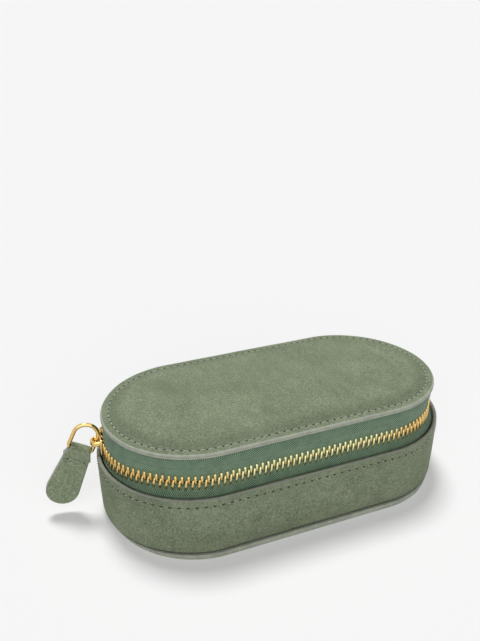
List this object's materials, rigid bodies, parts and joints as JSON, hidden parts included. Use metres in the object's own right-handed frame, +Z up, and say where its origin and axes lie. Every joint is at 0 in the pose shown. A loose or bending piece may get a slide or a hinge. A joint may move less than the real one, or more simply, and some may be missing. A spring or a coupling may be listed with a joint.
{
  "type": "travel jewelry case",
  "caption": "Oval suede travel jewelry case with a zipped hinged lid, ring pull, ring rolls and divided compartments.",
  "frame": {"origin": "middle of the sole's underside, on the surface that the case stands on", "axes": "+X along the long sides, with the closed zip's slider at the -X end; -Y is the front and +Y the leather hinge; +Z up"},
  "size_m": [0.1439, 0.0654, 0.0393],
  "materials": {
    "suede": "napped suede, sage green",
    "sole_leather": "smooth, with a painted edge",
    "core_leather": "painted edge, satin",
    "tape": "woven herringbone tape",
    "teeth": "polished",
    "gold": "polished",
    "board": "raw greyboard",
    "lining": "microsuede",
    "foam": "thin padding"
  },
  "bodies": {
    "base": {"sole": "sole_leather", "bottom_board": "board", "wall_leather": "suede", "wall_board": "board", "wall_lining": "lining", "floor_lining": "lining", "left_divider": "lining", "right_divider": "lining", "ring_roll_1": "lining", "ring_roll_2": "lining", "ring_roll_3": "lining", "ring_roll_4": "lining", "lower_zip_tape": "tape", "lower_zip_teeth": "teeth", "lower_end_stops": "teeth", "leather_hinge": "suede"},
    "lid": {"lid_top_leather": "suede", "lid_padding": "foam", "lid_core_leather": "core_leather", "lid_board": "board", "lid_lining": "lining", "lid_side_lining": "lining", "upper_zip_tape": "tape", "upper_zip_teeth": "teeth", "upper_end_stops": "teeth"},
    "slider": {"slider_body": "gold", "slider_bail": "gold"},
    "ring": {"pull_ring": "gold"},
    "tab": {"pull_tab": "suede"}
  },
  "joints": [
    {"name": "lid_hinge", "type": "hinge", "parent": "base", "child": "lid", "pos_m": [0, 0.0286, 0.02805], "axis": [-1, 0, 0], "range_deg": [0, 100], "deforming": ["leather_hinge"]},
    {"name": "slider_travel", "type": "hinge", "parent": "base", "child": "slider", "pos_m": [-0.0307, 0, 0.02805], "axis": [0, 0, 1], "range_deg": [-20, 90], "deforming": ["upper_zip_teeth", "lower_zip_teeth"]},
    {"name": "ring_swing", "type": "hinge", "parent": "slider", "child": "ring", "pos_m": [-0.06227, 0.00729, 0.02805], "axis": [0.4118, -0.0951, 0.9063], "range_deg": [-45, 45]},
    {"name": "tab_swing", "type": "hinge", "parent": "ring", "child": "tab", "pos_m": [-0.06777, 0.00856, 0.02517], "axis": [-0.8831, 0.2039, 0.4226], "range_deg": [-30, 30]}
  ]
}
